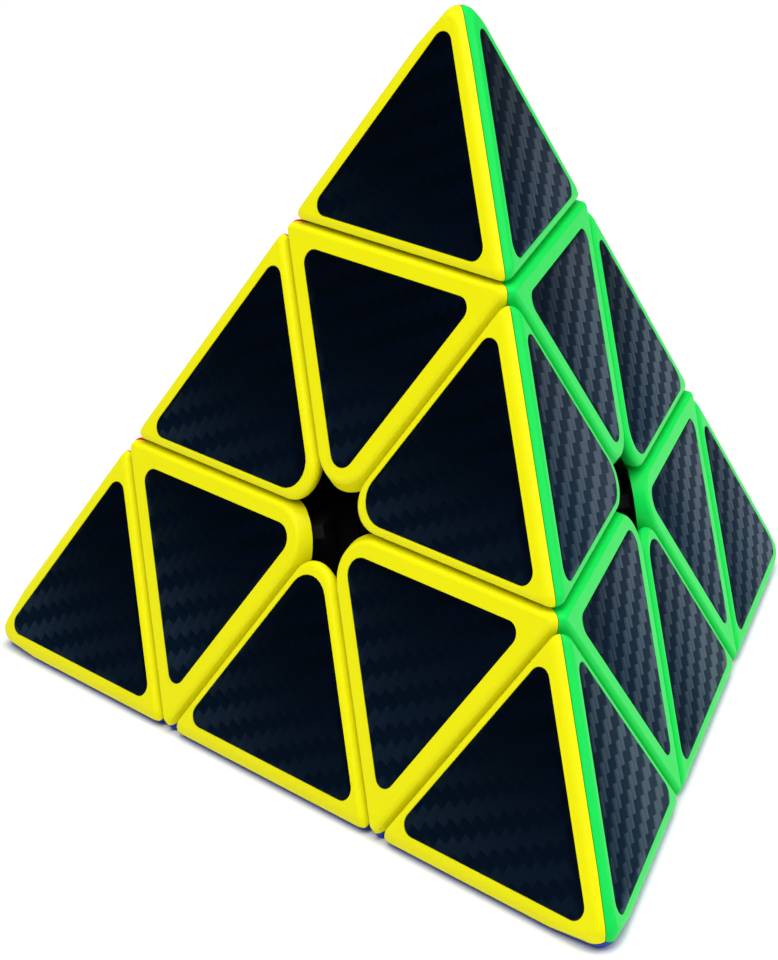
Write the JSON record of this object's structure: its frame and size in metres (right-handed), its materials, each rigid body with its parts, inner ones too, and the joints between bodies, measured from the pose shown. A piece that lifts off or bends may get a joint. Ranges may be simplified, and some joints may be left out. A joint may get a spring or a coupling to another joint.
{
  "type": "pyramid twisty puzzle",
  "caption": "Four-sided pyramid twisty puzzle whose tips and apex layer turn on a spring-loaded core, in coloured plastic for dark patterned stickers.",
  "frame": {"origin": "centre of the core, which is the centre of the tetrahedron and the point that every turning axis passes through", "axes": "+Z from the core through the apex; -Y towards the front base corner; +X towards the right base corner's side"},
  "size_m": [0.0966, 0.0845, 0.0797],
  "materials": {
    "yellow_plastic": "glossy moulded fluorescent yellow",
    "green_plastic": "glossy moulded bright green",
    "blue_plastic": "glossy moulded blue",
    "red_plastic": "glossy moulded red",
    "black_plastic": "satin black moulded plastic",
    "screw_steel": "zinc-plated steel",
    "spring_steel": "drawn spring wire",
    "carbon_sticker": "thin dark film printed with a twill weave, under a satin coat"
  },
  "bodies": {
    "core": {"apex_axial_screw": "screw_steel", "core_spider": "black_plastic", "front_axial_frame": "black_plastic", "front_axial_screw": "screw_steel", "front_axial_shell_blue": "blue_plastic", "front_axial_shell_green": "green_plastic", "front_axial_shell_yellow": "yellow_plastic", "front_axial_spring": "spring_steel", "front_left_edge_frame": "black_plastic", "front_left_edge_shell_blue": "blue_plastic", "front_left_edge_shell_yellow": "yellow_plastic", "front_right_edge_frame": "black_plastic", "front_right_edge_shell_blue": "blue_plastic", "front_right_edge_shell_green": "green_plastic", "left_axial_frame": "black_plastic", "left_axial_screw": "screw_steel", "left_axial_shell_blue": "blue_plastic", "left_axial_shell_red": "red_plastic", "left_axial_shell_yellow": "yellow_plastic", "left_axial_spring": "spring_steel", "left_right_edge_frame": "black_plastic", "left_right_edge_shell_blue": "blue_plastic", "left_right_edge_shell_red": "red_plastic", "right_axial_frame": "black_plastic", "right_axial_screw": "screw_steel", "right_axial_shell_blue": "blue_plastic", "right_axial_shell_green": "green_plastic", "right_axial_shell_red": "red_plastic", "right_axial_spring": "spring_steel"},
    "apex_layer": {"apex_axial_frame": "black_plastic", "apex_axial_shell_green": "green_plastic", "apex_axial_shell_red": "red_plastic", "apex_axial_shell_yellow": "yellow_plastic", "apex_axial_spring": "spring_steel", "apex_front_edge_frame": "black_plastic", "apex_front_edge_shell_green": "green_plastic", "apex_front_edge_shell_yellow": "yellow_plastic", "apex_left_edge_frame": "black_plastic", "apex_left_edge_shell_red": "red_plastic", "apex_left_edge_shell_yellow": "yellow_plastic", "apex_right_edge_frame": "black_plastic", "apex_right_edge_shell_green": "green_plastic", "apex_right_edge_shell_red": "red_plastic"},
    "apex_tip": {"apex_tip_hub": "black_plastic", "apex_tip_shell_green": "green_plastic", "apex_tip_shell_red": "red_plastic", "apex_tip_shell_yellow": "yellow_plastic"},
    "front_tip": {"front_tip_hub": "black_plastic", "front_tip_shell_blue": "blue_plastic", "front_tip_shell_green": "green_plastic", "front_tip_shell_yellow": "yellow_plastic"},
    "left_tip": {"left_tip_hub": "black_plastic", "left_tip_shell_blue": "blue_plastic", "left_tip_shell_red": "red_plastic", "left_tip_shell_yellow": "yellow_plastic"},
    "right_tip": {"right_tip_hub": "black_plastic", "right_tip_shell_blue": "blue_plastic", "right_tip_shell_green": "green_plastic", "right_tip_shell_red": "red_plastic"}
  },
  "joints": [
    {"name": "apex_layer_turn", "type": "hinge", "parent": "core", "child": "apex_layer", "pos_m": [0, 0, 0], "axis": [0, 0, 1], "continuous": true},
    {"name": "apex_tip_turn", "type": "hinge", "parent": "apex_layer", "child": "apex_tip", "pos_m": [0, 0, 0], "axis": [0, 0, 1], "continuous": true},
    {"name": "front_tip_turn", "type": "hinge", "parent": "core", "child": "front_tip", "pos_m": [0, 0, 0], "axis": [0, -0.9428, -0.3333], "continuous": true},
    {"name": "left_tip_turn", "type": "hinge", "parent": "core", "child": "left_tip", "pos_m": [0, 0, 0], "axis": [-0.8165, 0.4714, -0.3333], "continuous": true},
    {"name": "right_tip_turn", "type": "hinge", "parent": "core", "child": "right_tip", "pos_m": [0, 0, 0], "axis": [0.8165, 0.4714, -0.3333], "continuous": true}
  ]
}
